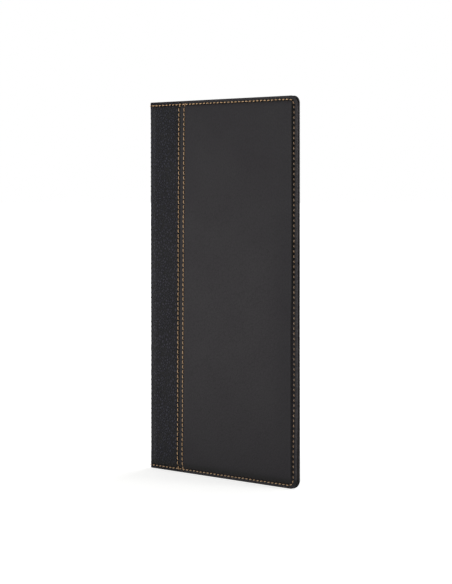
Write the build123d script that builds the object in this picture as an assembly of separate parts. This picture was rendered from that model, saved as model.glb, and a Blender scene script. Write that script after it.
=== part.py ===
from build123d import *
import os

# A sewn guest check presenter, closed and standing on its foot edge.
# X runs from the spine to the fore edge, Y is the thickness with the front cover on the -Y side,
# and Z runs from the foot to the head. The origin is under the middle of the closed presenter.
# A "depth" is a distance out from the middle plane between the two covers. Sizes are millimetres.

# Overall sizes
cover_height = 230.0
cover_width = 125.0
fore_corner_radius = 5.5

# Sheet thicknesses
skin = 0.45
turn_in = 0.30
lining = 0.25
board = 1.20
pocket_sheet = 0.30
pocket_space = 0.15
cover_gap = 1.20

# Stiffener board and the raised panel that the skin forms over it
edge_to_board = 3.8
board_corner_radius = 2.2
board_shoulder = 0.25
board_bevel = 5.0
board_setback = 0.6

# Spine
crease_gap = 0.4
fold_inset = 0.65
spine_turn_in = 8.0
stiffener_clearance = 0.1

# Seam between the grained spine leather and the smooth panel, from the spine's outer face
seam_at_foot = 27.2
seam_at_head = 28.5
seam_edge_radius = 0.2

# Lining and pockets
lining_inset = 0.6
pocket_height = 88.5
pocket_from_fold = 4.0
pocket_hem = 4.0
card_pocket_width = 92.0
card_pocket_height = 50.0
card_pocket_foot = 108.0
card_pocket_offset = 1.0

# Depths of the layers, from the gap outwards
lining_in = cover_gap / 2
lining_out = lining_in + lining
turn_in_out = lining_out + turn_in
rim_out = turn_in_out + skin
board_out = lining_out + board
cover_out = board_out + skin
pocket_out = lining_in - pocket_space
pocket_in = pocket_out - pocket_sheet

# Places along X
spine_x = -cover_width / 2
fore_x = cover_width / 2
fold_centre_x = spine_x + rim_out
cover_start_x = fold_centre_x + crease_gap
fold_axis_x = spine_x + fold_inset
fold_axis_depth = rim_out - fold_inset

edge_round = 0.4 * (skin + turn_in)
bevel_rise = cover_out - rim_out


def outline(start_x, end_x, foot_z, head_z, corner):
    """A flat rectangle in X and Z whose two corners at the fore edge are rounded."""
    width = end_x - start_x
    height = head_z - foot_z
    flat = Pos(start_x + width / 2, foot_z + height / 2) * Rectangle(width, height)
    return fillet(flat.vertices().sort_by(Axis.X)[-2:], corner)


def layer(flat, inner, outer):
    """The outline as a sheet of the front cover, from one depth to the other."""
    return extrude(Plane.XZ.offset(inner) * flat, outer - inner)


def edges_at_depth(solid, depth):
    """Edges of a layer that lie in the plane at this depth, without those on the cut by the fold."""
    flat_edges = solid.edges().filter_by_position(Axis.Y, -depth - 0.001, -depth + 0.001)
    return flat_edges.filter_by_position(Axis.X, cover_start_x + 0.001, fore_x + 0.001)


def raised_block(inset, outer, shoulder):
    """The block that a cover's board fills: rolled at head, fore edge and foot, bevelled to the spine."""
    flat = outline(
        cover_start_x,
        fore_x - inset,
        inset,
        cover_height - inset,
        board_corner_radius + edge_to_board - inset,
    )
    block = layer(flat, lining_out, outer)
    low = outer - bevel_rise
    wedge_points = [
        (cover_start_x, -low),
        (cover_start_x + board_bevel, -outer),
        (cover_start_x, -outer),
    ]
    wedge = extrude(make_face(Polyline(wedge_points, close=True)), cover_height)
    block = block - wedge
    top = block.faces().sort_by(Axis.Y)[0]
    rolled = top.edges().filter_by_position(Axis.X, cover_start_x + board_bevel + 0.01, fore_x)
    return fillet(rolled, shoulder)


def cover_skin():
    """The whole outer skin of the front cover with its turned edge, before it is cut at the seam."""
    rim = layer(
        outline(cover_start_x, fore_x, 0, cover_height, fore_corner_radius),
        lining_out,
        rim_out,
    )
    rounded = edges_at_depth(rim, rim_out) + edges_at_depth(rim, lining_out)
    rim = fillet(rounded, edge_round)
    raised = raised_block(edge_to_board - skin, cover_out, board_shoulder + skin)
    hollow = raised_block(edge_to_board, board_out, board_shoulder)
    return rim + raised - hollow


def seam_side(past_seam):
    """A prism that holds everything on one side of the seam, which leans a little to the fore edge."""
    far_x = fore_x if past_seam else spine_x
    corners = [
        (spine_x + seam_at_foot, 0),
        (spine_x + seam_at_head, cover_height),
        (far_x, cover_height),
        (far_x, 0),
    ]
    return layer(make_face(Polyline(corners, close=True)), 0, cover_out)


def with_rolled_seam(piece):
    """Rolls the piece's outer long edge along the seam, where the leather is folded under."""
    middle = (spine_x + (seam_at_foot + seam_at_head) / 2, -cover_out, cover_height / 2)
    seam_edge = piece.edges().sort_by_distance(middle)[0]
    return fillet(seam_edge, seam_edge_radius)


def spine_flap():
    """Grained leather of the front cover from the fold to the seam."""
    return with_rolled_seam(cover_skin() & seam_side(False))


def smooth_panel():
    """Smooth leather of the front cover from the seam to the fore edge."""
    return with_rolled_seam(cover_skin() & seam_side(True))


def stiffener_board():
    """The board in the front cover, set back from the fold."""
    whole = raised_block(edge_to_board, board_out, board_shoulder)
    near_fold = Pos(cover_start_x, 0, cover_height / 2) * Box(
        2 * board_setback, 2 * cover_out, cover_height
    )
    return whole - near_fold


def cover_lining():
    """The lining sheet of the front cover, a little inside the turned edge."""
    flat = outline(
        cover_start_x,
        fore_x - lining_inset,
        lining_inset,
        cover_height - lining_inset,
        fore_corner_radius - lining_inset,
    )
    return layer(flat, lining_in, lining_out)


def bill_pocket_flat():
    """Outline of the bill pocket: it fills the foot of the cover and shares its rounded corner."""
    start_x = cover_start_x + pocket_from_fold
    end_x = fore_x - lining_inset
    flat = Pos((start_x + end_x) / 2, (lining_inset + pocket_height) / 2) * Rectangle(
        end_x - start_x, pocket_height - lining_inset
    )
    foot_corners = flat.vertices().group_by(Axis.Y)[0]
    return fillet(foot_corners.sort_by(Axis.X)[-1], fore_corner_radius - lining_inset)


def card_pocket_flat():
    """Outline of the card pocket above the bill pocket."""
    centre_z = card_pocket_foot + card_pocket_height / 2
    return Pos(card_pocket_offset, centre_z) * Rectangle(card_pocket_width, card_pocket_height)


def pocket_sheet_of(flat):
    """The pocket's face, a flat sheet held off the lining by its hems."""
    return layer(flat, pocket_in, pocket_out)


def pocket_hems_of(flat):
    """The three sewn hems behind a pocket: foot, spine side and fore side. The head stays open."""
    box = flat.bounding_box()
    foot_z = box.min.Y + pocket_hem
    sheet = layer(flat, pocket_out, lining_in)
    foot = split(sheet, Plane.XY.offset(foot_z), keep=Keep.BOTTOM)
    sides = split(sheet, Plane.XY.offset(foot_z), keep=Keep.TOP)
    spine_side = split(sides, Plane.YZ.offset(box.min.X + pocket_hem), keep=Keep.BOTTOM)
    fore_side = split(sides, Plane.YZ.offset(box.max.X - pocket_hem), keep=Keep.TOP)
    return Compound([foot, spine_side, fore_side])


def spine_channel(inner, outer, foot_z, head_z):
    """A half-round layer of the spine between two depths, from one height to the other."""
    ring = Circle(outer) - Circle(inner)
    half = ring & Pos(-outer, 0) * Rectangle(2 * outer, 4 * outer)
    return extrude(Pos(fold_centre_x, 0, foot_z) * half, head_z - foot_z)


def spine_wrap():
    """Grained leather around the spine, with its head and foot edges turned in."""
    wrap = spine_channel(turn_in_out, rim_out, 0, cover_height)
    foot_hem = spine_channel(lining_out, turn_in_out, 0, spine_turn_in)
    head_hem = spine_channel(lining_out, turn_in_out, cover_height - spine_turn_in, cover_height)
    whole = wrap + foot_hem + head_hem
    ends = whole.edges().filter_by(GeomType.CIRCLE)
    ends = ends.group_by(Axis.Z)[0] + ends.group_by(Axis.Z)[-1]
    return fillet(ends, edge_round)


def spine_stiffener():
    """The thin stay between the spine's turned ends, behind the leather."""
    foot_z = spine_turn_in + stiffener_clearance
    return spine_channel(lining_out, turn_in_out, foot_z, cover_height - foot_z)


def spine_lining():
    """The lining across the inside of the spine."""
    return spine_channel(lining_in, lining_out, lining_inset, cover_height - lining_inset)


def on_back(piece):
    """The same piece on the back cover."""
    return mirror(piece, about=Plane.XZ)


front_pieces = {
    "panel": smooth_panel(),
    "spine_flap": spine_flap(),
    "board": stiffener_board(),
    "lining": cover_lining(),
    "bill_pocket": pocket_sheet_of(bill_pocket_flat()),
    "bill_pocket_hem": pocket_hems_of(bill_pocket_flat()),
}

nodes = {
    "spine_wrap": spine_wrap(),
    "spine_stiffener": spine_stiffener(),
    "spine_lining": spine_lining(),
    "back_card_pocket": on_back(pocket_sheet_of(card_pocket_flat())),
    "back_card_pocket_hem": on_back(pocket_hems_of(card_pocket_flat())),
}
for piece_name, piece in front_pieces.items():
    nodes["front_" + piece_name] = piece
    nodes["back_" + piece_name] = on_back(piece)

os.makedirs("parts", exist_ok=True)
for node_name, solid in nodes.items():
    export_step(solid, "parts/" + node_name + ".step")

print("fold axes at x", round(fold_axis_x, 3), "y", round(-fold_axis_depth, 3), round(fold_axis_depth, 3))
print("closed thickness", 2 * cover_out, "at the edges", 2 * rim_out)
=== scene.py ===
import math
from functools import partial

import bmesh
import bpy
import numpy as np
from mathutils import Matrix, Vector
from mathutils.geometry import delaunay_2d_cdt
from mathutils.kdtree import KDTree


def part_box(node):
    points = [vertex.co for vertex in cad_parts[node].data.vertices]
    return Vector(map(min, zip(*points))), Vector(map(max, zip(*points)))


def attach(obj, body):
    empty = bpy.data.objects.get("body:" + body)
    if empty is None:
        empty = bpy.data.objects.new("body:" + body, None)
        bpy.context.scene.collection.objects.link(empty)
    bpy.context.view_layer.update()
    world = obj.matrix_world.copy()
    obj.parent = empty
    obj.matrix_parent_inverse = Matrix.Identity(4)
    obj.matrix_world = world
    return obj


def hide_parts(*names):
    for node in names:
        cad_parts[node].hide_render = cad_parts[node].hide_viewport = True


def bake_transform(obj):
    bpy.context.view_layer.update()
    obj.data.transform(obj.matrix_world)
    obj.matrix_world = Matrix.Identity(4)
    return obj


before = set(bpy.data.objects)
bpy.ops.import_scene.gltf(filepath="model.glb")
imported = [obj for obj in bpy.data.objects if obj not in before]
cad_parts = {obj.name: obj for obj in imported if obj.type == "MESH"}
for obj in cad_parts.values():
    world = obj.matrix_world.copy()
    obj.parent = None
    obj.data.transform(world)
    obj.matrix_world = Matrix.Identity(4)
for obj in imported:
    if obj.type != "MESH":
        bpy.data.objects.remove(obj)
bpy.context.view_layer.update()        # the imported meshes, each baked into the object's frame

mm = 0.001
draws = np.random.default_rng(41)    # the sewing's small unevenness, the same each time

# Flat positions are (u, z) in mm. u is x on a cover, and left of the fold it runs on round the spine.
# Depth is the distance out from the closed folder's middle plane, or from the spine's centre line.
panelLow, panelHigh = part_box("front_panel")
spineLow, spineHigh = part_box("spine_wrap")
boardLow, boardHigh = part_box("front_board")
spineX, foldX = spineLow.x / mm, spineHigh.x / mm        # the spine's outside, and where its half round ends
foreX, headZ = panelHigh.x / mm, panelHigh.z / mm
rimOut, boardOut = spineHigh.y / mm, -panelLow.y / mm    # depths of the pressed rim and of the raised face
middleU = foldX - rimOut * math.pi / 2                   # the spine's middle line, where its two halves meet

# A band is a dip or mark beside a line: its amount, its middle and width in mm, and how squarely it ends.
cover = {
    "corner": 5.5, "cornerHead": 4.5,
    # The rise over the board, on each side: distance from the edge where it starts, width of its steep
    # part, width of its slow part, and the steep part's share.
    "wallFore": (2.55, 0.6, 0.6, 1.0), "wallHead": (2.6, 1.2, 3.0, 0.75), "wallFoot": (2.7, 1.1, 5.0, 0.68),
    "askew": 0.75, "askewFrom": 125, "askewOver": 35,   # below this height the fore wall runs further in
    "bevel": 5.4,                     # the slow rise from the fold
    "slack": 0.05,                    # how far its slow waves lift the leather
    "groove": (0.16, 0.05, 0.3, 2),   # band: the pressed line at the foot of the fore wall
    "edgeRound": 0.36,
    "skin": 0.45, "pared": 0.03,      # thickness on the spine, and how much thinner it is on the covers
    # The turned-in leather: depth of its inside face, its width on the covers and at the spine's ends, and
    # how far past the fold the spine's goes.
    "turnIn": 0.85, "turnInWidth": 3.6, "turnInEnds": 7.9, "turnInPast": 0.4,
    # The front cover's fore rim leans in towards the foot: how far, from which height, over what height,
    # how wide the rim is, and over what width the lean starts.
    "lean": 0.6, "leanFrom": 62, "leanOver": 50, "leanRim": 3.4, "leanSoft": 1.4,
    # The fore edge is a bead that swells inward, on the back cover most near the head. These are the depths
    # of its inner rim, then the depth and inset where it ends, and the inset where the turned-in flat starts.
    "beadFront": 0.06, "beadBack": 0.62, "beadBackHead": 0.3, "beadFrom": 125, "beadOver": 40,
    "beadDeep": 0.66, "beadTo": 0.62, "flatFrom": 0.9,
    "foreFrom": 5.5, "foreOver": 2.6, "foreEnds": 7,    # where the fore edge's own shape eases in and out
    "middleSnap": 0.11,               # radians: what is this near the spine's middle line sits on it
    "crisp": 0.04,                    # half the width of a sharp step
}
seam = {
    "foot": 27.2, "head": 28.5,       # from the spine's outside, so it leans a little
    "gap": 0.03, "dip": (0.1, 0, 0.5, 2),
    "leftRowFoot": -1.3, "leftRowHead": -0.85,
    "rightRowFoot": 2.95, "rightRowHead": 3.75,
    "endMargin": 1.0,
}
edgeRow = {
    "fore": 2.0, "head": 2.2, "foot": 1.98,    # how far in from each edge
    "corner": 3.5, "cornerHead": 2.6, "pitch": 3.0,
    "sunkFore": 0.12,
}


def ease(t):
    t = np.clip(t, 0, 1)
    return t * t * (3 - 2 * t)


def band(away, shape):
    amount, middle, width, square = shape
    return amount * np.exp(-((away - middle) / width) ** square)


def toLinear(hexCode):
    parts = [int(hexCode[i:i + 2], 16) / 255 for i in (1, 3, 5)]
    return tuple(c / 12.92 if c <= 0.04045 else ((c + 0.055) / 1.055) ** 2.4 for c in parts) + (1.0,)


def seamX(z):
    return spineX + seam["foot"] + (seam["head"] - seam["foot"]) * z / headZ


def edgeInset(x, z):
    # how far in from the cover's outline, which has head, fore and foot sides and no spine side
    middle = headZ / 2
    corner = np.where(z > middle, cover["cornerHead"], cover["corner"])
    qx = x - (foreX - corner)
    qz = np.abs(z - middle) - (middle - corner)
    outside = np.hypot(np.maximum(qx, 0), np.maximum(qz, 0))
    return corner - outside - np.minimum(np.maximum(qx, qz), 0)


def place(u, z, depth, side):
    # from flat position and depth to the object's frame, in metres; side is -1 front, 1 back
    if side < 0:
        rim = ease((u - foreX + cover["leanRim"]) / cover["leanSoft"])
        u = u - cover["lean"] * rim * ease((cover["leanFrom"] - z) / cover["leanOver"])
    angle = np.clip((foldX - u) / rimOut, 0, math.pi / 2)
    reach = np.sin(np.where(angle > math.pi / 2 - cover["middleSnap"], math.pi / 2, angle))
    x = np.where(u >= foldX, u, foldX - depth * reach)
    y = depth * np.cos(angle)
    return np.stack([x, side * y, z + 0 * x], -1) * mm


def wobble(u, z, seed):
    # slow unevenness of leather over board and glue, about -1 to 1, from waves of these lengths
    total = 0
    for k, (long, tall) in enumerate([(61, 83), (37, 49), (23, 67), (29, 31)]):
        total = total + np.sin(u * math.tau / long + z * math.tau / tall * (-1) ** k + seed * 1.7 + k * 2.1)
    return total / 4


def walkRow(corners, pitch):
    # evenly spaced points along a path of straight runs and arcs
    points = np.array(corners, float)
    steps = np.hypot(*np.diff(points, axis=0).T)
    along = np.concatenate([[0], np.cumsum(steps)])
    count = max(1, round(along[-1] / pitch))
    at = np.linspace(0, along[-1], count + 1)
    return np.stack([np.interp(at, along, points[:, k]) for k in (0, 1)], -1)


def arcPoints(centre, radius, fromAngle, toAngle, count=14):
    angles = np.radians(np.linspace(fromAngle, toAngle, count))
    return [(centre[0] + radius * math.cos(a), centre[1] + radius * math.sin(a)) for a in angles]


def rowRound(right, top, low, upper, lower, pitch):
    # from the spine's middle along head, fore and foot, with a corner radius above and one below
    path = [(middleU, top)] + arcPoints((right - upper, top - upper), upper, 90, 0)
    path += arcPoints((right - lower, low + lower), lower, 0, -90) + [(middleU, low)]
    return walkRow(path, pitch)


def seamRowHoles(footOffset, headOffset):
    margin = seam["endMargin"]
    ends = []
    for z in (margin, headZ - margin):
        ends.append((seamX(z) + footOffset + (headOffset - footOffset) * z / headZ, z))
    return walkRow(ends, edgeRow["pitch"])


def jittered(holes, amount):
    # hand-guided sewing: each hole but the first and last is a little off
    moved = holes + draws.normal(0, amount, holes.shape)
    moved[0], moved[-1] = holes[0], holes[-1]
    return moved


def rowField(points, holes):
    # for each flat point: distance to the nearest hole, sideways distance to the row, share along its stitch
    tree = KDTree(len(holes))
    for i, (u, z) in enumerate(holes):
        tree.insert((u, z, 0), i)
    tree.balance()
    found = [tree.find((u, z, 0)) for u, z in points]
    nearest = np.array([f[1] for f in found])
    near = np.array([f[2] for f in found])
    beside = np.full(len(points), 1e9)
    share = np.zeros(len(points))
    for first in (np.maximum(nearest - 1, 0), np.minimum(nearest, len(holes) - 2)):
        a, run = holes[first], holes[first + 1] - holes[first]
        t = np.clip(((points - a) * run).sum(-1) / (run ** 2).sum(-1), 0, 1)
        gap = np.hypot(*(points - a - run * t[:, None]).T)
        closer = gap < beside
        beside, share = np.where(closer, gap, beside), np.where(closer, t, share)
    return near, beside, share


# Bands, in mm of depth.
press = {
    "channel": (0.10, 0, 0.42, 2),    # the groove under the thread
    "hole": (0.46, 0, 0.52, 2),       # the needle's hole
    "pull": (0.13, 0, 1.0, 2),        # leather drawn in around each hole
    "swell": (0.06, 0.95, 0.45, 2),   # and pushed up beside each stitch
    "most": 0.4,
}


def stitchPress(points, rows):
    # how much the thread and needle holes pull the surface in
    total = np.zeros(len(points))
    for holes in rows:
        near, beside, share = rowField(points, holes)
        total += band(beside, press["channel"])
        total += band(near, press["hole"])
        total += band(near, press["pull"])
        total -= band(beside, press["swell"]) * np.sin(math.pi * share) ** 2
    return press["most"] * np.tanh(total / press["most"])


# The mesh beside a row: places along each stitch, and mm to each side.
meshShares = (0, 0.12, 0.28, 0.5, 0.72, 0.88)
meshOffsets = (-1.3, -0.85, -0.5, -0.22, 0, 0.22, 0.5, 0.85, 1.3)


def rowPoints(holes):
    a, b = holes[:-1], holes[1:]
    along = b - a
    across = np.stack([-along[:, 1], along[:, 0]], -1) / np.hypot(*along.T)[:, None]
    found = [a + along * s + across * o for s in meshShares for o in meshOffsets]
    found += [holes[-1:] + across[-1:] * o for o in meshOffsets]
    return np.concatenate(found)


def alongLine(start, end, spacing):
    count = max(1, round(math.dist(start, end) / spacing))
    t = np.arange(count)[:, None] / count
    return np.array(start) + (np.array(end) - np.array(start)) * t


def roundedOutline(corners, spacing=0.8):
    # corners are (u, z, radius), anticlockwise; gives a closed loop of points
    loop = []
    count = len(corners)
    flat = [np.array(c[:2], float) for c in corners]
    tangents = []
    for i, (u, z, radius) in enumerate(corners):
        before = flat[i - 1] - flat[i]
        after = flat[(i + 1) % count] - flat[i]
        before, after = before / np.hypot(*before), after / np.hypot(*after)
        if radius <= 0:
            tangents.append((flat[i], flat[i], []))
            continue
        half = math.acos(np.clip(before @ after, -1, 1)) / 2
        reach = radius / math.tan(half)
        centre = flat[i] + (before + after) / np.hypot(*(before + after)) * radius / math.sin(half)
        p, q = flat[i] + before * reach, flat[i] + after * reach
        a0, a1 = (math.atan2(*(k - centre)[::-1]) for k in (p, q))
        turn = (a1 - a0 + math.pi) % math.tau - math.pi
        steps = max(3, round(abs(turn) * radius / spacing))
        arc = [centre + radius * np.array([math.cos(a0 + turn * s / steps), math.sin(a0 + turn * s / steps)])
               for s in range(steps)]
        tangents.append((p, q, arc))
    for i in range(count):
        p, q, arc = tangents[i]
        nextStart = tangents[(i + 1) % count][0]
        if len(arc):
            loop.append(np.array(arc))
        loop.append(alongLine(q, nextStart, spacing))
    return np.concatenate(loop)


def outward(loop):
    ahead, behind = np.roll(loop, -1, 0) - loop, loop - np.roll(loop, 1, 0)
    normals = [np.stack([d[:, 1], -d[:, 0]], -1) / np.hypot(*d.T)[:, None] for d in (behind, ahead)]
    both = normals[0] + normals[1]
    return both / (1 + (normals[0] * normals[1]).sum(-1))[:, None]


def thinned(points, least):
    # drops a point that lies too near one that is already kept
    cells, kept = {}, []
    for i, (u, z) in enumerate(points):
        cu, cz = math.floor(u / least), math.floor(z / least)
        close = False
        for du in (-1, 0, 1):
            for dz in (-1, 0, 1):
                for j in cells.get((cu + du, cz + dz), ()):
                    if (points[j][0] - u) ** 2 + (points[j][1] - z) ** 2 < least * least:
                        close = True
        if not close:
            cells.setdefault((cu, cz), []).append(i)
            kept.append(i)
    return points[kept]


def coarsePoints(uFrom, uTo, zFrom, zTo, step):
    rows = []
    for k, z in enumerate(np.arange(zFrom, zTo, step * 0.866)):
        us = np.arange(uFrom + (k % 2) * step / 2, uTo, step)
        rows.append(np.stack([us, np.full(len(us), z)], -1))
    return np.concatenate(rows)


def meshPoints(parts, roomAt, room, least):
    # all parts' points that keep this room to the sheet's sides
    points = np.concatenate(parts)
    return thinned(points[roomAt(points) > room], least)


def filledFlat(loop, inner):
    # triangles over a closed loop and the points inside it
    points = np.vstack([loop, inner]) if len(inner) else loop
    count = len(loop)
    edges = [(i, (i + 1) % count) for i in range(count)]
    _, _, faces, sources, _, _ = delaunay_2d_cdt([Vector(p) for p in points], edges, [], 1, 1e-7)
    source = [s[0] for s in sources]
    return points, [[source[i] for i in face] for face in faces]


def putInScene(name, data):
    made = bpy.data.objects.new(name, data)
    bpy.context.scene.collection.objects.link(made)
    return made


def markPoints(mesh, marks):
    # shares from 0 to 1 that the materials read
    for mark, values in marks.items():
        made = mesh.attributes.new(mark, "FLOAT", "POINT")
        made.data.foreach_set("value", values.astype(np.float32))


def leatherMesh(name, points, faces, flatPlaces, material, marks, sharpAngle=50):
    mesh = bpy.data.meshes.new(name)
    mesh.from_pydata([tuple(p) for p in points], [], faces)
    work = bmesh.new()
    work.from_mesh(mesh)
    bmesh.ops.recalc_face_normals(work, faces=work.faces)
    work.to_mesh(mesh)
    work.free()
    layer = mesh.uv_layers.new(name="flatCut")   # the cut piece laid flat, in metres
    corners = np.zeros(len(mesh.loops), np.int32)
    mesh.loops.foreach_get("vertex_index", corners)
    layer.uv.foreach_set("vector", (np.asarray(flatPlaces)[corners] * mm).astype(np.float32).ravel())
    markPoints(mesh, marks)
    mesh.shade_smooth()
    mesh.set_sharp_from_angle(angle=math.radians(sharpAngle))
    mesh.materials.append(material)
    return putInScene(name, mesh)


def sheetPiece(name, loop, shown, hidden, shownPoints, hiddenPoints, side, edge, material, marksAt):
    # a closed sheet: a shown face, a hidden face and a rounded edge between them
    facing = outward(loop)
    base = loop - facing * edge
    top, topFaces = filledFlat(base, shownPoints)
    low, lowFaces = filledFlat(base, hiddenPoints)
    topDepth, lowDepth = shown(top), hidden(low)
    count, rings = len(loop), 6
    flats, depths = [top], [topDepth]
    starts = [0]
    edgeTop, edgeLow = topDepth[:count], lowDepth[:count]
    for k in range(1, rings):
        turn = math.pi * k / rings
        starts.append(sum(len(f) for f in flats))
        flats.append(base + facing * edge * math.sin(turn))
        depths.append(edgeLow + (edgeTop - edgeLow) * (1 + math.cos(turn)) / 2)
    lowStart = sum(len(f) for f in flats)
    starts.append(lowStart)
    flats.append(low)
    depths.append(lowDepth)
    faces = [list(f) for f in topFaces]
    faces += [[i + lowStart for i in reversed(f)] for f in lowFaces]
    for a, b in zip(starts, starts[1:]):
        for i in range(count):
            j = (i + 1) % count
            faces.append([a + j, a + i, b + i, b + j])
    flat, depth = np.concatenate(flats), np.concatenate(depths)
    points = place(flat[:, 0], flat[:, 1], depth, side)
    return leatherMesh(name, points, faces, flat, material, marksAt(flat))


# One stitch in rings: each ring's place along the part that shows, and its height over the leather in
# thread radii. Its ends dive and grow slim, and each stitch differs a little.
stitch = {
    "rings": (-0.55, -0.5, -0.43, -0.33, -0.18, 0, 0.18, 0.33, 0.43, 0.5, 0.55),
    "lifts": (-2.4, -1.3, -0.35, 0.38, 0.66, 0.72, 0.66, 0.38, -0.35, -1.3, -2.4),
    "slimFrom": 0.33, "slimTo": 0.55, "slimmest": 0.65,
    "unevenSlant": 0.25, "unevenRadius": 0.05, "unevenLift": 0.06,
}


def unit(vectors):
    return vectors / np.linalg.norm(vectors, axis=1, keepdims=True)


def threadRow(name, rows, surface, side, facing, sewing, shadeTone=lambda middle: 0):
    # one lockstitch after another: each dives into its hole, and two plies twist along it
    showing, around = sewing["showing"], sewing["sides"]
    shares = 0.5 + showing * np.array(stitch["rings"])
    lifts = np.array(stitch["lifts"])
    slimming = [stitch["slimFrom"] * showing, stitch["slimTo"] * showing]
    points, faces, corners, shades = [], [], [], []
    ringCount = len(shares)
    turns = np.arange(around) / around * math.tau
    for holes in rows:
        for a, b in zip(holes, holes[1:]):
            run = b - a
            length = float(np.hypot(*run))
            across = np.array([-run[1], run[0]]) / length
            slant = sewing["slant"] * draws.normal(1, stitch["unevenSlant"])
            fat = sewing["radius"] * draws.normal(1, stitch["unevenRadius"])
            phase = draws.uniform(0, math.tau)
            flat = a + run * shares[:, None] + across * (slant * (shares - 0.5) * 2 * length)[:, None]
            depth = surface(flat) + facing * (lifts + draws.normal(0, stitch["unevenLift"])) * fat
            centre = place(flat[:, 0], flat[:, 1], depth, side)
            out = place(flat[:, 0], flat[:, 1], depth + facing * 0.2, side) - centre
            forward = unit(np.gradient(centre, axis=0))
            sideways = unit(np.cross(forward, unit(out)))
            up = np.cross(sideways, forward)
            twist = phase + shares * length / sewing["lay"] * math.tau
            start = len(points) * ringCount * around
            angle = turns[None, :] + 0 * twist[:, None]
            lobe = 1 + sewing["ply"] * np.cos(2 * (angle - twist[:, None]))
            slim = np.interp(np.abs(shares - 0.5), slimming, [1, stitch["slimmest"]])[:, None]
            radius = fat * mm * lobe * slim
            ring = centre[:, None] + radius[..., None] * (
                np.cos(angle)[..., None] * sideways[:, None] + np.sin(angle)[..., None] * up[:, None])
            points.append(ring.reshape(-1, 3))
            for k in range(ringCount - 1):
                low, high = start + k * around, start + (k + 1) * around
                s0, s1 = shares[k] * length * mm, shares[k + 1] * length * mm
                for j in range(around):
                    n = (j + 1) % around
                    faces.append([low + j, low + n, high + n, high + j])
                    v0, v1 = turns[j] - twist[k], turns[j] - twist[k + 1]
                    corners += [(s0, v0), (s0, v0 + turns[1]), (s1, v1 + turns[1]), (s1, v1)]
            faces.append([start + j for j in reversed(range(around))])
            faces.append([start + (ringCount - 1) * around + j for j in range(around)])
            corners += [(0, 0)] * (2 * around)
            # each stitch's painted shade
            shades.append(np.full(ringCount * around, shadeTone((a + b) / 2)))
    mesh = bpy.data.meshes.new(name)
    mesh.from_pydata([tuple(p) for p in np.concatenate(points)], [], faces)
    layer = mesh.uv_layers.new(name="alongThread")   # metres along the stitch, and turns round it
    layer.uv.foreach_set("vector", (np.array(corners) / (1, math.tau)).astype(np.float32).ravel())
    markPoints(mesh, {"pressed": np.concatenate(shades)})
    if side * facing < 0:
        mesh.flip_normals()
    mesh.shade_smooth()
    mesh.materials.append(thread)
    return putInScene(name, mesh)


def addNode(tree, kind, inputs=None, **settings):
    # An input is a socket, a hex colour or a plain value; it gives the new node's outputs. A colour Mix
    # takes its share at 0 and its colours at 6 and 7, and its output is 2.
    node = tree.nodes.new("ShaderNode" + kind)
    for name, value in settings.items():
        setattr(node, name, value)
    for name, value in (inputs or {}).items():
        if isinstance(value, bpy.types.NodeSocket):
            tree.links.new(value, node.inputs[name])
        else:
            isHex = isinstance(value, str) and value.startswith("#")
            node.inputs[name].default_value = toLinear(value) if isHex else value
    return node.outputs


def emptyTree(made):
    # gives addNode for this material's or world's own tree
    made.use_nodes = True
    made.node_tree.nodes.clear()
    return partial(addNode, made.node_tree)


def startMaterial(name):
    made = bpy.data.materials.new(name)
    return made, emptyTree(made)


def finishMaterial(made, look, colour, rough, normal):
    shader = addNode(made.node_tree, "BsdfPrincipled", {
        "Base Color": colour, "Roughness": rough, "Normal": normal,
        "IOR": look["ior"], "Specular IOR Level": look["specular"]})
    addNode(made.node_tree, "OutputMaterial", {"Surface": shader[0]})
    return made


def leather(name, look):
    # the coat's colour and cloud, a paler rub that is partly a painted highlight and sheen, painted shade
    # in grooves and holes, and a grain of cells with painted shade in the creases between
    made, add = startMaterial(name)
    flat = add("UVMap", uv_map="flatCut")[0]
    cloud = add("TexNoise", {
        "Vector": flat, "Scale": 1 / (look["cloudSize"] * mm), "Detail": 3.0, "Roughness": 0.55})
    pores = add("TexNoise", {
        "Vector": flat, "Scale": 1 / (look["poreSize"] * mm), "Detail": 4.0, "Roughness": 0.6})
    bent = add("VectorMath", {
        0: pores["Color"], 1: (look["bend"] * mm,) * 3, 2: flat}, operation="MULTIPLY_ADD")
    cells = add("TexVoronoi", {
        "Vector": bent[0], "Scale": 1 / (look["cellSize"] * mm), "Randomness": look["cellRandom"]},
        feature="DISTANCE_TO_EDGE")
    crease = add("MapRange", {
        "Value": cells["Distance"], "From Max": look["creaseWidth"]}, interpolation_type="SMOOTHSTEP")
    rub = add("Attribute", attribute_name="rub")
    pressed = add("Attribute", attribute_name="pressed")
    base = add("Mix", {0: cloud["Fac"], 6: look["dark"], 7: look["light"]}, data_type="RGBA")
    # the rub mark: rub on edges, a painted highlight along the fore edge and a painted sheen over the middle
    rubAndSheenShare = add("Math", {0: rub["Fac"], 1: pores["Fac"]}, operation="MULTIPLY")
    marked = add("Mix", {0: rubAndSheenShare[0], 6: base[2], 7: look["rubAndSheenColour"]}, data_type="RGBA")
    creaseTone = add("MapRange", {"Value": crease[0], "To Min": look["creaseFade"]})
    # painted shade: the grain's creases are darkened towards the crease colour
    creased = add("Mix", {0: creaseTone[0], 6: look["crease"], 7: marked[2]}, data_type="RGBA")
    # painted shade: near black at holes, grooves, the seam's joint and the foot
    withShade = add("Mix", {0: pressed["Fac"], 6: creased[2], 7: look["shadeTone"]}, data_type="RGBA")
    rough = add("MapRange", {
        "Value": cloud["Fac"], "From Min": 0.3, "From Max": 0.7,
        "To Min": look["roughLow"], "To Max": look["roughHigh"]})
    roughWorn = add("Math", {0: rubAndSheenShare[0], 1: look["rubRough"], 2: rough[0]}, operation="MULTIPLY_ADD")
    grain = add("Bump", {"Height": crease[0], "Distance": look["creaseDepth"] * mm})
    fine = add("Bump", {"Height": pores["Fac"], "Distance": look["poreDepth"] * mm, "Normal": grain[0]})
    return finishMaterial(made, look, withShade[2], roughWorn[0], fine[0])


# Sizes are mm: how far apart clouds, pores and the grain's cells are, and how deep pores and creases go.

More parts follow.
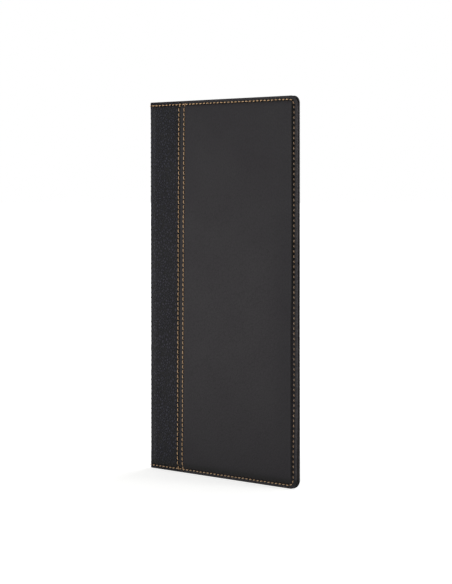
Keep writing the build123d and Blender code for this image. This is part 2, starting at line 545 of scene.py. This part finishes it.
# Polyurethane-coated leather, calendered smooth: satin black with faint clouding and pores.
smoothLeather = leather("smoothCoatedLeather", {
    "dark": "#151316", "light": "#1f1c20", "crease": "#100f10", "rubAndSheenColour": "#4a4648", "shadeTone": "#040404",
    "cloudSize": 34, "poreSize": 1.3, "poreDepth": 0.11, "bend": 1.2,
    "cellSize": 2.2, "cellRandom": 1.0, "creaseWidth": 0.1, "creaseDepth": 0.02, "creaseFade": 0.55,
    "roughLow": 0.48, "roughHigh": 0.58, "rubRough": -0.06, "ior": 1.5, "specular": 0.14})

# The same coat pressed with a pebble grain: small domes with painted shade in the creases
# between them, so it looks deeper black.
# The real grain is about 0.8 mm across; it is drawn 1.7 mm, because less doesn't show in the render.
grainedLeather = leather("embossedGrainLeather", {
    "dark": "#1a1a23", "light": "#2d2d37", "crease": "#020202", "rubAndSheenColour": "#4c484d", "shadeTone": "#040404",
    "cloudSize": 26, "poreSize": 0.5, "poreDepth": 0.02, "bend": 0.5,
    "cellSize": 1.7, "cellRandom": 0.95, "creaseWidth": 0.34, "creaseDepth": 0.45, "creaseFade": 0.0,
    "roughLow": 0.56, "roughHigh": 0.66, "rubRough": -0.05, "ior": 1.5, "specular": 0.14})

# Thin microfibre-backed lining skin: matt, soft black with a close nap.
liningLeather = leather("mattLiningLeather", {
    "dark": "#1d1c1d", "light": "#282627", "crease": "#171617", "rubAndSheenColour": "#3c3937", "shadeTone": "#080707",
    "cloudSize": 18, "poreSize": 0.45, "poreDepth": 0.04, "bend": 0.3,
    "cellSize": 0.9, "cellRandom": 1.0, "creaseWidth": 0.2, "creaseDepth": 0.03, "creaseFade": 0.5,
    "roughLow": 0.68, "roughHigh": 0.8, "rubRough": -0.08, "ior": 1.5, "specular": 0.25})

# Pocket leather, the cover's coat on a thinner back: a little glossier than the lining beside it.
pocketLeather = leather("thinPocketLeather", {
    "dark": "#222123", "light": "#2e2d2e", "crease": "#1c1b1c", "rubAndSheenColour": "#524d49", "shadeTone": "#080707",
    "cloudSize": 24, "poreSize": 0.7, "poreDepth": 0.03, "bend": 0.9,
    "cellSize": 1.7, "cellRandom": 1.0, "creaseWidth": 0.07, "creaseDepth": 0.02, "creaseFade": 0.6,
    "roughLow": 0.5, "roughHigh": 0.6, "rubRough": -0.06, "ior": 1.5, "specular": 0.3})


def twoPlyThread(name, look):
    # filaments that run with the twist, painted shade in the furrow between the two plies, and the painted
    # shade each stitch is given
    made, add = startMaterial(name)
    flat = add("UVMap", uv_map="alongThread")[0]
    parts = add("SeparateXYZ", {0: flat})
    ply = add("Math", {0: parts[1], 1: math.tau * 2}, operation="MULTIPLY")
    swing = add("Math", {0: ply[0]}, operation="COSINE")
    plyShade = add("MapRange", {
        "Value": swing[0], "From Min": -1.0, "From Max": look["furrowTo"]}, interpolation_type="SMOOTHSTEP")
    length = add("Math", {0: parts[0], 1: look["filament"] * mm}, operation="DIVIDE")
    lanes = add("Math", {0: parts[1], 1: look["lanes"], 2: length[0]}, operation="MULTIPLY_ADD")
    spread = add("CombineXYZ", {0: lanes[0], 1: parts[1]})
    fibres = add("TexNoise", {"Vector": spread[0], "Scale": 1.0, "Detail": 2.0})
    colour = add("Mix", {0: fibres["Fac"], 6: look["dark"], 7: look["light"]}, data_type="RGBA")
    # painted shade in the furrow between the plies
    shaded = add("Mix", {0: plyShade[0], 6: look["plyShade"], 7: colour[2]}, data_type="RGBA")
    withShade = add("Attribute", attribute_name="pressed")
    # painted shade on the stitch from the mark
    marked = add("Mix", {0: withShade["Fac"], 6: shaded[2], 7: look["shadeTone"]}, data_type="RGBA")
    bump = add("Bump", {"Height": fibres["Fac"], "Strength": 0.6, "Distance": look["fibreDepth"] * mm})
    rough = add("MapRange", {"Value": fibres["Fac"], "To Min": look["roughLow"], "To Max": look["roughHigh"]})
    return finishMaterial(made, look, marked[2], rough[0], bump[0])


# Bonded polyester sewing thread, two plies: a soft orange-tan shine, with painted shade in the furrows
# between plies.
# A filament is 0.02 mm thick; it is drawn 0.09 mm, because less doesn't show in the render.
thread = twoPlyThread("bondedPolyesterThread", {
    "light": "#f8d19a", "dark": "#d09a5c", "plyShade": "#633a18", "furrowTo": 0.1, "shadeTone": "#2a1408",
    "filament": 0.09, "lanes": 26.0, "fibreDepth": 0.02,
    "roughLow": 0.34, "roughHigh": 0.52, "ior": 1.57, "specular": 0.85})


def pressedBoard(name, look):
    # fibres pressed flat: short streaks, dark specks and a little tooth
    made, add = startMaterial(name)
    where = add("TexCoord")["Object"]
    stretched = add("Mapping", {"Vector": where, "Scale": (1.0, 1.0, look["streak"])})
    fibres = add("TexNoise", {
        "Vector": stretched[0], "Scale": 1 / (look["fibre"] * mm), "Detail": 5.0, "Roughness": 0.7})
    specks = add("TexVoronoi", {"Vector": where, "Scale": 1 / (look["speck"] * mm)})
    clear = add("MapRange", {
        "Value": specks["Distance"], "From Min": look["speckCore"], "From Max": look["speckFade"]})
    base = add("Mix", {0: fibres["Fac"], 6: look["dark"], 7: look["light"]}, data_type="RGBA")
    spotted = add("Mix", {0: clear[0], 6: look["spot"], 7: base[2]}, data_type="RGBA")
    bump = add("Bump", {"Height": fibres["Fac"], "Strength": 0.7, "Distance": look["tooth"] * mm})
    rough = add("MapRange", {"Value": fibres["Fac"], "To Min": look["roughLow"], "To Max": look["roughHigh"]})
    return finishMaterial(made, look, spotted[2], rough[0], bump[0])


pressedLook = {"streak": 3.5, "tooth": 0.04, "speckCore": 0.05, "speckFade": 0.2, "ior": 1.5, "specular": 0.5}

# Greyboard, rolled from waste paper: dull grey-brown with streaks and dark specks.
greyboard = pressedBoard("rolledGreyboard", {
    **pressedLook, "dark": "#76706a", "light": "#9a948c", "spot": "#55504b", "fibre": 0.9, "speck": 2.4,
    "roughLow": 0.82, "roughHigh": 0.94})

# Vulcanised fibre strip in the spine: dense, hard and a little waxy.
fibreStay = pressedBoard("vulcanisedFibre", {
    **pressedLook, "dark": "#3a2f2a", "light": "#4d3f37", "spot": "#2b2320", "fibre": 0.6, "speck": 1.6,
    "roughLow": 0.49, "roughHigh": 0.61})
print("materials made")

cadFinishes = {"front_board": greyboard, "back_board": greyboard, "spine_stiffener": fibreStay}
for node, material in cadFinishes.items():
    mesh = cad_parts[node].data
    mesh.materials.clear()
    mesh.materials.append(material)


board = {"round": 0.25, "leastSkin": 0.07}    # its edge's radius, and the least leather over it
edgeHoles = rowRound(foreX - edgeRow["fore"], headZ - edgeRow["head"], edgeRow["foot"],
                     edgeRow["cornerHead"], edgeRow["corner"], edgeRow["pitch"])
leftHoles = seamRowHoles(seam["leftRowFoot"], seam["leftRowHead"])
rightHoles = seamRowHoles(seam["rightRowFoot"], seam["rightRowHead"])


def foreWallShift(z):
    return cover["askew"] * ease((cover["askewFrom"] - z) / cover["askewOver"])


def fromForeWall(u, z):
    return edgeInset(u, z) - cover["wallFore"][0] - foreWallShift(z)


def riseOver(inset, wall):
    start, steep, slow, share = wall
    return share * ease((inset - start) / steep) + (1 - share) * ease((inset - start) / slow)


def shoulderAt(u, z):
    # steep beside the fore row, and a slow roll at the foot
    shift = foreWallShift(z)
    sides = (riseOver(foreX - u - shift, cover["wallFore"]) * riseOver(headZ - z, cover["wallHead"])
             * riseOver(z, cover["wallFoot"]))
    return np.minimum(sides, riseOver(edgeInset(u, z), cover["wallFore"]))


def coverSurface(points, seed):
    # outside of cover and spine, before the stitches pull it in
    u, z = points.T
    bevel, shoulder = ease((u - foldX) / cover["bevel"]), shoulderAt(u, z)
    rise = boardOut - rimOut
    slack = cover["slack"] * wobble(u, z, seed) * shoulder * bevel
    joint = band(u - seamX(z), seam["dip"])
    groove = band(fromForeWall(u, z), cover["groove"]) * foreShare(u, z)
    return rimOut + rise * bevel * shoulder + slack - joint - groove


def overBoard(points):
    # the least depth at which the skin still covers the board, rounded at its edge
    u, z = points.T
    fromEdge = edgeInset(u, z) - (headZ - boardHigh.z / mm)
    t = np.clip(fromEdge / board["round"], 0, 1)
    depth = -boardLow.y / mm - board["round"] * (1 - np.sqrt(1 - (1 - t) ** 2)) + board["leastSkin"]
    return np.where((fromEdge > -0.1) & (u > foldX + cover["bevel"]), depth, 0)


def foreShare(u, z):
    # 1 along the fore edge, easing to 0 round its corners
    toEnds = np.minimum(z, headZ - z)
    return ease((u - foreX + cover["foreFrom"]) / cover["foreOver"]) * ease(toEnds / cover["foreEnds"])


# Rub shows the leather paler and smoother and is partly a painted highlight and sheen. Painted shade
# shows it near black.
wearAndPaintedLight = {
    "edge": (1, 0, 0.6, 2), "edgeLeast": 0.07, "edgeForeWearAndHighlight": 0.9,   # rub on the turned edge; along the fore it is mostly a painted highlight
    "crest": (0.06, 1.2, 0.7, 2),                # rub over the board, from the foot of the fore wall
    "paintedSheen": (0.22, 98, 76, 2),                  # painted sheen, brightest round the middle, by height
    "paintedSheenFrom": 4, "paintedSheenOver": 22,             # and away from the edges
    "hole": (1, 0, 0.76, 4), "row": (0.5, 0, 0.85, 4),            # shade where the thread dives and between
    # painted shade in the groove at the foot of the fore wall, darker above about 95 mm
    "wall": (1, 0.3, 0.66, 4), "wallLow": 0.62, "wallMore": 0.38, "wallFrom": 95, "wallOver": 30,
    "footShadeBand": (0.6, 4.0, 1.7, 4), "footShadeFade": (0.3, 3, 5, 2),     # painted shade by height over the foot
    "lap": (0.85, 0, 0.28, 2), "lapFade": (0.3, 1.2, 1.3, 4),     # painted shade along the lapped seam's joint
    # inside: painted shade at the holes, and rub on the lining's edge
    "innerHole": (1, 0, 0.5, 4), "innerRow": (0, 0, 0.85, 4), "innerEdge": (0.8, 0, 0.9, 2),
}


def holeMarks(points, rows, hole, between):
    total = np.zeros(len(points))
    for holes in rows:
        near, beside, _ = rowField(points, holes)
        total = np.maximum.reduce([total, band(near, hole), band(beside, between)])
    return total


def outsideMarks(flat, rows):
    # rub on the edges and over the board, a painted highlight along the fore edge, a painted sheen over
    # the middle, and painted shade at the rows, the fore wall, the seam's joint and the foot
    u, z = flat.T
    inset, fromWall, fore, fromSeam = edgeInset(u, z), fromForeWall(u, z), foreShare(u, z), u - seamX(z)
    # paler turned edge: rub all round, and along the fore edge mostly a painted highlight
    edgeWearAndHighlight = wearAndPaintedLight["edgeLeast"] + wearAndPaintedLight["edgeForeWearAndHighlight"] * fore
    # painted sheen over the middle of the face
    paintedSheen = band(z, wearAndPaintedLight["paintedSheen"]) * ease((inset - wearAndPaintedLight["paintedSheenFrom"]) / wearAndPaintedLight["paintedSheenOver"])
    rub = edgeWearAndHighlight * band(np.maximum(inset, 0), wearAndPaintedLight["edge"]) + band(fromWall, wearAndPaintedLight["crest"]) + paintedSheen
    deep = wearAndPaintedLight["wallLow"] + wearAndPaintedLight["wallMore"] * ease((z - wearAndPaintedLight["wallFrom"]) / wearAndPaintedLight["wallOver"])
    # painted shade at the foot of the fore wall
    wall = deep * band(fromWall, wearAndPaintedLight["wall"]) * fore
    # painted shade near the foot
    paintedFootShade = band(z, wearAndPaintedLight["footShadeBand"]) + band(z, wearAndPaintedLight["footShadeFade"])
    # painted shade along the seam's joint
    joint = band(fromSeam, wearAndPaintedLight["lap"]) + band(fromSeam, wearAndPaintedLight["lapFade"])
    pressed = np.maximum.reduce([holeMarks(flat, rows, wearAndPaintedLight["hole"], wearAndPaintedLight["row"]), wall, joint, paintedFootShade])
    return {"rub": np.clip(rub, 0, 1), "pressed": np.clip(pressed, 0, 1)}


def ringPoints(insets, spacing):
    # mesh points that follow the cover's edge, with corners of at least 0.4 mm
    return np.concatenate([
        rowRound(foreX - inset, headZ - inset, inset, max(cover["cornerHead"] - inset, 0.4),
                 max(cover["corner"] - inset, 0.4), spacing) for inset in insets])


def columnPoints(us, zs):
    return np.array([(u, z) for u in us for z in zs])


# showing is the share of each stitch that lies on top before it dives. Painted shade is darkest on the
# stitches along the fore edge, beside the fore wall, then at the foot; the seam's thread is darkened a
# little all along.
seamSewing = {"radius": 0.24, "lay": 2.2, "ply": 0.16, "slant": 0.055, "sides": 10, "showing": 0.67,
              "shadeTone": 0.17}
edgeSewing = {"radius": 0.27, "lay": 2.2, "ply": 0.16, "slant": 0.055, "sides": 10, "showing": 0.45,
              "shadeFore": 0.66, "shadeFoot": 0.34, "footUpTo": 5}
handJitter = 0.05     # mm that a hole is off


def buildOutside(name, side, seed):
    edgeHere, leftHere, rightHere = (jittered(h, handJitter) for h in (edgeHoles, leftHoles, rightHoles))
    rows = [edgeHere, leftHere, rightHere]
    edge = cover["edgeRound"]

    def base(points):
        return coverSurface(points, seed)

    def surface(points):
        return np.maximum(base(points) - stitchPress(points, rows), overBoard(points))

    def underside(points):
        u, z = points.T
        turned = edgeInset(u, z) < cover["turnInWidth"]
        onSpine = (u < foldX + cover["turnInPast"]) & (np.minimum(z, headZ - z) < cover["turnInEnds"])
        thick = np.where(u < foldX, cover["skin"], cover["skin"] - cover["pared"])
        bead = cover["beadFront"]
        if side > 0:
            swollen = ease((z - cover["beadFrom"]) / cover["beadOver"])
            bead = cover["beadBack"] + (cover["beadBackHead"] - cover["beadBack"]) * swollen
        inset, full = edgeInset(u, z), cover["turnIn"]
        deep, near, far = cover["beadDeep"], cover["beadTo"], cover["flatFrom"]
        outer = bead + (deep - bead) * (inset - edge) / (near - edge)
        profile = np.where(inset < near, outer, deep + (full - deep) * (inset - near) / (far - near))
        inside = full + (np.minimum(profile, full) - full) * foreShare(u, z)
        return np.where(turned | onSpine, inside, base(points) - thick)

    def marks(flat):
        return outsideMarks(flat, rows)

    def panelRoom(p):
        return np.minimum(edgeInset(*p.T), p[:, 0] - seamX(p[:, 1]) - seam["gap"]) - edge

    def flapRoom(p):
        toSeam = np.minimum(edgeInset(*p.T), seamX(p[:, 1]) - seam["gap"] - p[:, 0])
        return np.minimum(toSeam - edge, p[:, 0] - middleU)

    # mesh points: along the rows, round the rim, over the rise and beside the seam
    rim = ringPoints((0.55, 0.75), 0.75)
    shoulder = ringPoints((2.56, 2.68, 2.8, 2.92, 3.04, 3.18, 3.32, 3.46, 3.6, 3.75, 3.9, 4.15, 4.6, 5.3,
                           6.1, 7.0, 7.8), 0.9)
    seamZ = np.arange(0.8, headZ, 1.0)
    besideSeam = [np.stack([seamX(seamZ) + o, seamZ], -1) for o in (-0.9, -0.65, 0.65, 0.9)]
    detail = np.concatenate([rowPoints(r) for r in rows] + [rim, shoulder] + besideSeam)
    turnIn, ends, crisp = cover["turnInWidth"], cover["turnInEnds"], cover["crisp"]
    turnInLines = ringPoints((cover["beadTo"], cover["flatFrom"], turnIn - crisp, turnIn + crisp), 1.5)

    # smooth panel
    footX, topX = seamX(0) + seam["gap"], seamX(headZ) + seam["gap"]
    loop = roundedOutline([(footX, 0, 0), (foreX, 0, cover["corner"]),
                           (foreX, headZ, cover["cornerHead"]), (topX, headZ, 0)])
    points = meshPoints([detail, coarsePoints(footX, foreX, 0, headZ, step=3.2)], panelRoom, 0.12, least=0.2)
    lowPoints = meshPoints([turnInLines, coarsePoints(footX, foreX, 0, headZ, step=7)], panelRoom, 0.2,
                           least=0.07)
    panel = sheetPiece(name + "SmoothPanel", loop, surface, underside, points, lowPoints, side, edge,
                       smoothLeather, marks)

    # grained flap with its half of the spine
    footX, topX = seamX(0) - seam["gap"], seamX(headZ) - seam["gap"]
    loop = roundedOutline([(middleU, 0, 0), (footX, 0, 0), (topX, headZ, 0), (middleU, headZ, 0)])
    bends = np.concatenate([foldX - rimOut * np.radians([84, 76, 66, 54, 42, 30, 18, 8, 0]),
                            foldX + np.array([0.4, 0.9, 1.5, 2.2, 3, 3.8, 4.6, 5.4])])
    spineGrid = columnPoints(bends, np.linspace(1, headZ - 1, 76))
    points = meshPoints([detail, spineGrid, coarsePoints(foldX + 7, footX + 3, 0, headZ, step=3.2)],
                        flapRoom, 0.12, least=0.16)
    lowPoints = meshPoints([
        turnInLines, columnPoints(bends[1::2], np.linspace(1, headZ - 1, 40)),
        columnPoints(bends[1::2], (ends - crisp, ends + crisp, headZ - ends + crisp, headZ - ends - crisp)),
        coarsePoints(foldX + 6, footX + 3, 0, headZ, step=6)], flapRoom, 0.15, least=0.07)
    flap = sheetPiece(name + "GrainedSpineLeather", loop, surface, underside, points, lowPoints, side, edge,
                      grainedLeather, marks)

    # painted shade on the edge row's stitches: most along the fore edge, beside the fore wall, then at the
    # foot
    def edgeShade(middle):
        atFoot = edgeSewing["shadeFoot"] if middle[1] < edgeSewing["footUpTo"] else 0
        return max(edgeSewing["shadeFore"] * float(foreShare(*middle)), atFoot)

    def edgeBase(points):
        return base(points) - edgeRow["sunkFore"] * foreShare(*points.T)

    edgeThread = threadRow(name + "EdgeStitching", [edgeHere], edgeBase, side, 1, edgeSewing, edgeShade)
    seamThread = threadRow(name + "SeamStitching", [leftHere, rightHere], base, side, 1, seamSewing,
                           lambda middle: seamSewing["shadeTone"])
    return panel, flap, edgeThread, seamThread, edgeHere


def foldBlend(piece, side, atSpine, atCover):
    # bakes the piece's transform into its mesh on either side, and doesn't bend it.
    # The places atSpine and atCover, as (x, depth) in mm from the fold, are not used.
    if side < 0:
        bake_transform(piece)
    else:
        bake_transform(piece)


outerFold = ((-1.15, 0), (0, 1.15))    # round the outside of the half round
innerFold = ((0.15, 0), (1.15, 0))     # the lining bends just past the spine's stay


def sidesOf(node):
    low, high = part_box(node)
    return {"left": low.x / mm, "right": high.x / mm, "foot": low.z / mm, "head": high.z / mm}


inner = {
    "lining": 0.6, "liningBack": 0.85,   # depths of the lining's face and of its glued back
    "inset": 0.6, "corner": 4.9,
    "slack": 0.03, "slackFrom": 1, "slackOver": 6,    # its waves, easing in beside the fold
    "press": 0.4,                        # the inside pulls in less than the outside
    "edgeRound": 0.11,
}
pocket = {
    **sidesOf("front_bill_pocket"),
    "face": 0.19, "sewn": 0.37,          # depths of the pocket's face, free and where it is sewn down
    "back": 0.45, "sewnBack": 0.58, "sewnWidth": 3.9,
    "settleFrom": 0.8, "settle": 3.4,    # how far in from a sewn edge the face comes free
    "slack": 0.035, "waves": 1.3,
    "hem": 6.2, "hemStep": 0.7, "hemRise": 0.05, "hemRow": 4.5,
    "sideRow": 2.0,
    "corner": 4.9, "smallCorner": 0.8, "mouthCorner": 0.5,
    "edgeRound": 0.1,
}
card = {**sidesOf("back_card_pocket"), "corner": 2.5, "smallCorner": 2.5, "row": 2, "rowCorner": 2.0}
innerSewing = {"radius": 0.18, "lay": 1.5, "ply": 0.16, "slant": -0.05, "sides": 8, "showing": 0.66}


def fromSewn(points, shape):
    u, z = points.T
    return np.minimum.reduce([u - shape["left"], shape["right"] - u, z - shape["foot"]])


def pocketFace(points, shape, seed):
    # the pocket's free face, settling to its sewn sides, a little thicker along its mouth
    u, z = points.T
    free = ease((fromSewn(points, shape) - pocket["settleFrom"]) / pocket["settle"])
    hem = ease((z - shape["head"] + pocket["hem"]) / pocket["hemStep"])
    slack = pocket["slack"] * wobble(u * pocket["waves"], z * pocket["waves"], seed) * free
    return pocket["sewn"] + (pocket["face"] - pocket["sewn"]) * free - pocket["hemRise"] * hem * free + slack


def pocketBack(points, shape):
    doubled = points[:, 1] > shape["head"] - pocket["hem"]
    down = fromSewn(points, shape) < pocket["sewnWidth"]
    return np.where(down | doubled, pocket["sewnBack"], pocket["back"])


def insideMarks(flat, rows, loopInset):
    # rub on the lining's edge, and painted shade at the holes
    return {"rub": band(np.maximum(loopInset, 0), wearAndPaintedLight["innerEdge"]),
            "pressed": holeMarks(flat, rows, wearAndPaintedLight["innerHole"], wearAndPaintedLight["innerRow"])}


def straightRow(start, end):
    return walkRow([start, end], edgeRow["pitch"])


def buildLining(name, side, seed, edgeHere):
    def base(points):
        u, z = points.T
        onCover = ease((u - foldX - inner["slackFrom"]) / inner["slackOver"])
        return inner["lining"] + inner["slack"] * (0.5 + 0.5 * wobble(u, z, seed)) * onCover

    def surface(points):
        return base(points) + inner["press"] * stitchPress(points, [edgeHere])

    def marks(flat):
        inset = edgeInset(flat[:, 0], flat[:, 1]) - inner["inset"]
        return insideMarks(flat, [edgeHere], inset)

    low, high, right = inner["inset"], headZ - inner["inset"], foreX - inner["inset"]
    loop = roundedOutline([(middleU, low, 0), (right, low, inner["corner"]),
                           (right, high, inner["corner"]), (middleU, high, 0)])
    bends = np.concatenate([foldX - rimOut * np.radians([80, 62, 45, 28, 10]),
                            foldX + np.array([0, 0.15, 0.35, 0.55, 0.75, 0.95, 1.15, 1.5, 2.2])])
    spineGrid = columnPoints(bends, np.linspace(1.2, headZ - 1.2, 60))
    bare = rowPoints(edgeHere)
    bare = bare[(bare[:, 1] > pocket["head"] - 1) | (bare[:, 0] < pocket["left"] + 1)]   # beside the pocket
    def roomAt(p):
        return np.minimum(edgeInset(*p.T) - low, p[:, 0] - middleU + 0.3) - inner["edgeRound"]

    points = meshPoints([bare, spineGrid, coarsePoints(foldX + 3, right, 0, headZ, step=3.4)], roomAt, 0.15,
                        least=0.18)
    backs = meshPoints([spineGrid[::2], coarsePoints(foldX + 3, right, 0, headZ, step=8)], roomAt, 0.3,
                       least=0.18)
    return base, sheetPiece(name + "Lining", loop, surface, lambda p: np.full(len(p), inner["liningBack"]),
                            points, backs, side, inner["edgeRound"], liningLeather, marks)


def buildPocket(name, side, seed, shape, rows, sewnRows):
    # rows are this pocket's own rows; sewnRows are all that cross it
    def surface(points):
        return pocketFace(points, shape, seed) + inner["press"] * stitchPress(points, sewnRows)

    def marks(flat):
        inset = np.minimum(fromSewn(flat, shape), shape["head"] - flat[:, 1])
        return insideMarks(flat, sewnRows, inset)

    left, right, foot, head = shape["left"], shape["right"], shape["foot"], shape["head"]
    loop = roundedOutline([(left, foot, shape["smallCorner"]), (right, foot, shape["corner"]),
                           (right, head, pocket["mouthCorner"]), (left, head, pocket["mouthCorner"])])
    hemLine = head - pocket["hem"]
    across, up = np.arange(left, right, 1.6), np.arange(foot, head, 1.6)

    def lines(us, zs):
        # mesh points along upright lines at us, then along level lines at zs
        return [columnPoints(us, up), columnPoints(zs, across)[:, ::-1]]

    settling = (0.5, 3.2, 4.2)    # from a sewn edge
    edges = lines([u for d in settling for u in (left + d, right - d)], [foot + d for d in settling])
    hemPoints = columnPoints([hemLine + d for d in (-0.1, 0.1, 0.35, 0.6, 0.8)], across)[:, ::-1]
    points = np.concatenate([rowPoints(r) for r in sewnRows] + [hemPoints] + edges
                            + [coarsePoints(left, right, foot, head, step=3)])
    near, far = (pocket["sewnWidth"] + d for d in (-0.05, 0.05))    # each side of the sewn back's step
    backs = np.concatenate(lines((left + near, left + far, right - near, right - far),
                                 (foot + near, foot + far, hemLine - 0.05, hemLine + 0.05))
                           + [coarsePoints(left, right, foot, head, step=6)])

    def inside(p, room):
        u, z = p.T
        fits = (u > left + room) & (u < right - room) & (z > foot + room) & (z < head - room)
        r = shape["corner"]
        inCorner = (u > right - r) & (z < foot + r)
        return p[fits & ~(inCorner & (np.hypot(u - right + r, z - foot - r) > r - room))]

    points = thinned(inside(points, room=0.3), least=0.18)
    backs = thinned(inside(backs, room=0.4), least=0.07)
    piece = sheetPiece(name, loop, surface, lambda p: pocketBack(p, shape), points, backs, side,
                       pocket["edgeRound"], pocketLeather, marks)
    sewn = threadRow(name + "Stitching", rows, lambda p: pocketFace(p, shape, seed), side, -1, innerSewing)
    return piece, sewn


rowEnd = 1.2    # from a pocket's mouth to the end of its side rows


def billPocketRows():
    top, left = pocket["head"] - pocket["hemRow"], pocket["left"] + pocket["sideRow"]
    return [straightRow((left + 1.5, top), (pocket["right"] - 3.2, top)),
            straightRow((left, pocket["foot"] + 3.4), (left, pocket["head"] - rowEnd))]


def cardPocketRows():
    left, right, foot = card["left"] + card["row"], card["right"] - card["row"], card["foot"] + card["row"]
    r, top, mouth = card["rowCorner"], card["head"] - pocket["hemRow"], card["head"] - rowEnd
    path = [(left, mouth)] + arcPoints((left + r, foot + r), r, 180, 270)
    path += arcPoints((right - r, foot + r), r, 270, 360) + [(right, mouth)]
    return [walkRow(path, edgeRow["pitch"]), straightRow((left + 1.6, top), (right - 1.6, top))]


for name, side, seed in (("front", -1, 0), ("back", 1, 3)):
    body = name + "_cover"
    panel, flap, edgeThread, seamThread, edgeHere = buildOutside(name, side, seed)
    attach(panel, body)
    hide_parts(name + "_panel")
    foldBlend(flap, side, *outerFold)
    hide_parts(name + "_spine_flap", "spine_wrap")
    foldBlend(edgeThread, side, *outerFold)
    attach(seamThread, body)
    print(name, "outside built", len(panel.data.polygons), len(flap.data.polygons))

    liningBase, lining = buildLining(name, side, seed + 5, edgeHere)
    foldBlend(lining, side, *innerFold)
    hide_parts(name + "_lining", "spine_lining")
    billRows = billPocketRows()
    bill, billThread = buildPocket(name + "BillPocket", side, seed + 8, pocket, billRows,
                                   billRows + [edgeHere])
    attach(bill, body)
    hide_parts(name + "_bill_pocket", name + "_bill_pocket_hem")
    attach(billThread, body)

    def insideFace(points, seed=seed, liningBase=liningBase):
        onPocket = (points[:, 0] > pocket["left"]) & (points[:, 1] < pocket["head"])
        return np.where(onPocket, pocketFace(points, pocket, seed + 8), liningBase(points))

    innerThread = threadRow(name + "InnerStitching", [edgeHere], insideFace, side, -1, innerSewing)
    foldBlend(innerThread, side, *innerFold)
    print(name, "inside built", len(lining.data.polygons), len(bill.data.polygons))

cardRows = cardPocketRows()
cardPiece, cardThread = buildPocket("backCardPocket", 1, 14, card, cardRows, cardRows)
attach(cardPiece, "back_cover")
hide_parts("back_card_pocket", "back_card_pocket_hem")
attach(cardThread, "back_cover")
print("card pocket built")


# Degrees and metres. A part of the tilt is shift, which keeps the upright edges nearly parallel.
camera = {"lens": 112.6, "sensor": 36, "turn": 44.5, "down": 0.8, "roll": 0.045,
          "back": 1.1077, "right": 0.0024, "up": 0.1731, "shift": -0.1258}
turn = math.radians(camera["turn"])
cameraData = bpy.data.cameras.new("camera")
cameraData.lens = camera["lens"]
cameraData.sensor_width = camera["sensor"]
cameraData.shift_y = camera["shift"]
cameraObject = putInScene("camera", cameraData)
cameraObject.location = (
    math.sin(turn) * camera["back"] + math.cos(turn) * camera["right"],
    -math.cos(turn) * camera["back"] + math.sin(turn) * camera["right"],
    camera["up"])
cameraObject.rotation_euler = (math.radians(90 - camera["down"]), math.radians(camera["roll"]), turn)
bpy.context.scene.camera = cameraObject

lamps = {
    # degrees round from the front, height, distance, width and how tall in metres, watts
    "keySoftbox": (-8, 0.36, 2.0, 1.2, 0.7, 14.2),
    "sheenSoftbox": (-46, 0.13, 1.6, 0.5, 0.22, 2.2),
    "edgeSoftbox": (112, 0.45, 1.6, 0.5, 1.2, 6.5),
    "fillSoftbox": (190, 0.6, 1.8, 1.2, 1.0, 15),
}
for name, (azimuth, height, distance, width, tall, watts) in lamps.items():
    data = bpy.data.lights.new(name, "AREA")
    data.shape, data.size, data.size_y, data.energy = "RECTANGLE", width, tall, watts
    lamp = putInScene(name, data)
    a = math.radians(azimuth)
    lamp.location = (math.sin(a) * distance, -math.cos(a) * distance, height)
    aim = Vector((0, 0, headZ / 2 * mm)) - lamp.location
    lamp.rotation_euler = aim.to_track_quat("-Z", "Y").to_euler()

# The lamps fall off over the floor, so its glow rises from lift, near the object, to 1 further out.
stage = {"radius": 30.0, "floor": "#f3f3f1", "lift": 0.55, "liftNear": 0.2, "liftFar": 1.0, "worldLight": 0.5}


def seenRay(add):
    # 1 for what the camera, a reflection or glass sees, and 0 for light that falls on the object
    ray = add("LightPath")
    seen = add("Math", {0: ray["Is Camera Ray"], 1: ray["Is Glossy Ray"]}, operation="MAXIMUM")
    return add("Math", {0: seen[0], 1: ray["Is Transmission Ray"]}, operation="MAXIMUM")[0]


bpy.ops.mesh.primitive_circle_add(vertices=96, radius=stage["radius"], fill_type="NGON")
floor = bpy.context.object
floor.name = "floor"
# Matt pale paint: an even near-white that only takes the object's shadow.
floorPaint, add = startMaterial("paleFloorPaint")
paint = add("BsdfDiffuse", {"Color": stage["floor"]})
away = add("VectorMath", {0: add("TexCoord")["Object"]}, operation="LENGTH")
lift = add("MapRange", {
    "Value": away["Value"], "From Min": stage["liftNear"], "From Max": stage["liftFar"],
    "To Min": stage["lift"], "To Max": 1.0}, interpolation_type="SMOOTHSTEP")
strength = add("Math", {0: seenRay(add), 1: lift[0]}, operation="MULTIPLY")
glow = add("Emission", {"Color": (1, 1, 1, 1), "Strength": strength[0]})
both = add("AddShader", {0: paint[0], 1: glow[0]})
add("OutputMaterial", {"Surface": both[0]})
floor.data.materials.append(floorPaint)

world = bpy.data.worlds.new("studio")
bpy.context.scene.world = world
add = emptyTree(world)
dim = add("Background", {"Color": (1, 1, 1, 1), "Strength": stage["worldLight"]})
white = add("Background", {"Color": (1, 1, 1, 1), "Strength": 1.0})
mixed = add("MixShader", {0: seenRay(add), 1: dim[0], 2: white[0]})
add("OutputWorld", {"Surface": mixed[0]})
bpy.context.scene.view_settings.view_transform = "Standard"
print("stage ready")
